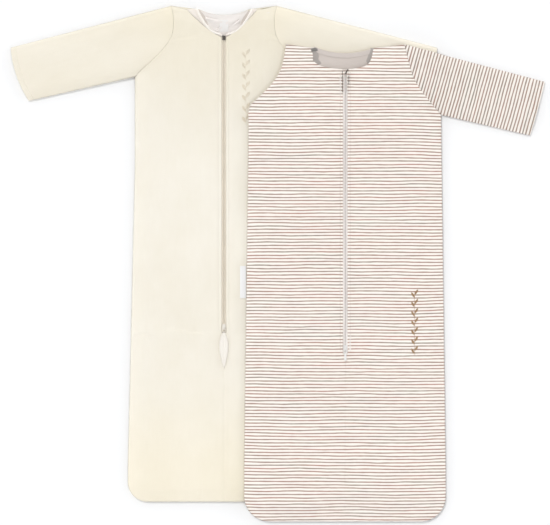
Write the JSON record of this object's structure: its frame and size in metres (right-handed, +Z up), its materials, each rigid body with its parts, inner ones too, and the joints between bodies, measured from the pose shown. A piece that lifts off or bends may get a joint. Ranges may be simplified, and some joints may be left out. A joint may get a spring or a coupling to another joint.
{
  "type": "baby sleeping bag",
  "caption": "Two-layer long-sleeved baby sleeping bag laid flat: a plush lined outer bag and a thin striped jersey inner bag, each with a front zip closing from the neck down.",
  "frame": {"origin": "middle of the flat resting face, halfway across and along the whole laid-out set", "axes": "+Z up out of the front of the bags, +Y towards the head, +X to the right seen from above with the head at the top"},
  "size_m": [1.0945, 1.058, 0.028],
  "materials": {
    "velour": "soft cream cotton velour with a short pile",
    "lining": "plain pale cotton jersey lining",
    "jersey": "thin off-white jersey with fine taupe stripes",
    "facing": "grey-beige jersey facing",
    "tape_cream": "woven cream zip tape",
    "tape_grey": "woven light grey zip tape",
    "coil_cream": "satin moulded teeth",
    "coil_grey": "satin moulded teeth",
    "dark_metal": "dark enamelled die-cast metal",
    "pale_metal": "pale enamelled die-cast metal",
    "white_plastic": "white semi-gloss moulding",
    "leaf_cloth": "folded off-white cotton",
    "label": "plain woven white label",
    "cream_thread": "tone-on-tone satin-stitch thread",
    "brown_thread": "brown satin-stitch thread"
  },
  "bodies": {
    "outer_bag": {"outer_back_panel": "velour", "outer_left_front_panel": "velour", "outer_right_front_panel": "velour", "outer_right_sleeve": "velour", "outer_back_lining": "lining", "outer_left_front_lining": "lining", "outer_right_front_lining": "lining", "outer_right_sleeve_lining": "lining", "outer_back_neck_facing": "lining", "outer_left_neck_facing": "lining", "outer_right_neck_facing": "lining", "outer_neck_label": "label", "outer_embroidery": "cream_thread", "outer_zip_left_tape": "tape_cream", "outer_zip_right_tape": "tape_cream", "outer_zip_left_coil": "coil_cream", "outer_zip_right_coil": "coil_cream", "outer_zip_retainer_box": "dark_metal", "outer_zip_insertion_pin": "dark_metal", "outer_zip_end_stop": "dark_metal", "outer_zip_guard": "tape_cream"},
    "outer_left_arm": {"outer_left_sleeve": "velour", "outer_left_sleeve_lining": "lining"},
    "outer_slider": {"outer_zip_slider": "pale_metal"},
    "outer_pull": {"outer_zip_pull_loop": "pale_metal", "outer_zip_leaf_pull": "leaf_cloth"},
    "inner_bag": {"inner_back_panel": "jersey", "inner_left_front_panel": "jersey", "inner_right_front_panel": "jersey", "inner_left_sleeve": "jersey", "inner_back_neck_facing": "facing", "inner_side_label": "label", "inner_embroidery": "brown_thread", "inner_zip_left_tape": "tape_grey", "inner_zip_right_tape": "tape_grey", "inner_zip_left_coil": "coil_grey", "inner_zip_right_coil": "coil_grey", "inner_zip_retainer_box": "pale_metal", "inner_zip_insertion_pin": "pale_metal", "inner_zip_end_stop": "pale_metal", "inner_zip_guard": "tape_grey"},
    "inner_right_arm": {"inner_right_sleeve": "jersey"},
    "inner_slider": {"inner_zip_slider": "white_plastic"},
    "inner_pull": {"inner_zip_pull_loop": "white_plastic", "inner_zip_pull_tab": "white_plastic"}
  },
  "joints": [
    {"name": "inner_bag_lift", "type": "slide", "parent": "outer_bag", "child": "inner_bag", "axis": [0, 0, 1], "range_m": [0, 0.3]},
    {"name": "outer_left_arm_fold", "type": "hinge", "parent": "outer_bag", "child": "outer_left_arm", "pos_m": [-0.2561, 0.455, 0.0148], "axis": [0.4511, 0.8925, 0], "range_deg": [0, 150]},
    {"name": "outer_slider_travel", "type": "slide", "parent": "outer_bag", "child": "outer_slider", "axis": [0, 1, 0], "range_m": [0, 0.58]},
    {"name": "outer_pull_swing", "type": "hinge", "parent": "outer_slider", "child": "outer_pull", "pos_m": [-0.1105, -0.13, 0.0157], "axis": [-1, 0, 0], "range_deg": [0, 170]},
    {"name": "inner_right_arm_fold", "type": "hinge", "parent": "inner_bag", "child": "inner_right_arm", "pos_m": [0.298, 0.381, 0.024], "axis": [0.4839, -0.8751, 0], "range_deg": [0, 150]},
    {"name": "inner_slider_travel", "type": "slide", "parent": "inner_bag", "child": "inner_slider", "axis": [0, 1, 0], "range_m": [0, 0.552]},
    {"name": "inner_pull_swing", "type": "hinge", "parent": "inner_slider", "child": "inner_pull", "pos_m": [0.1375, -0.173, 0.0261], "axis": [-1, 0, 0], "range_deg": [0, 170]}
  ]
}
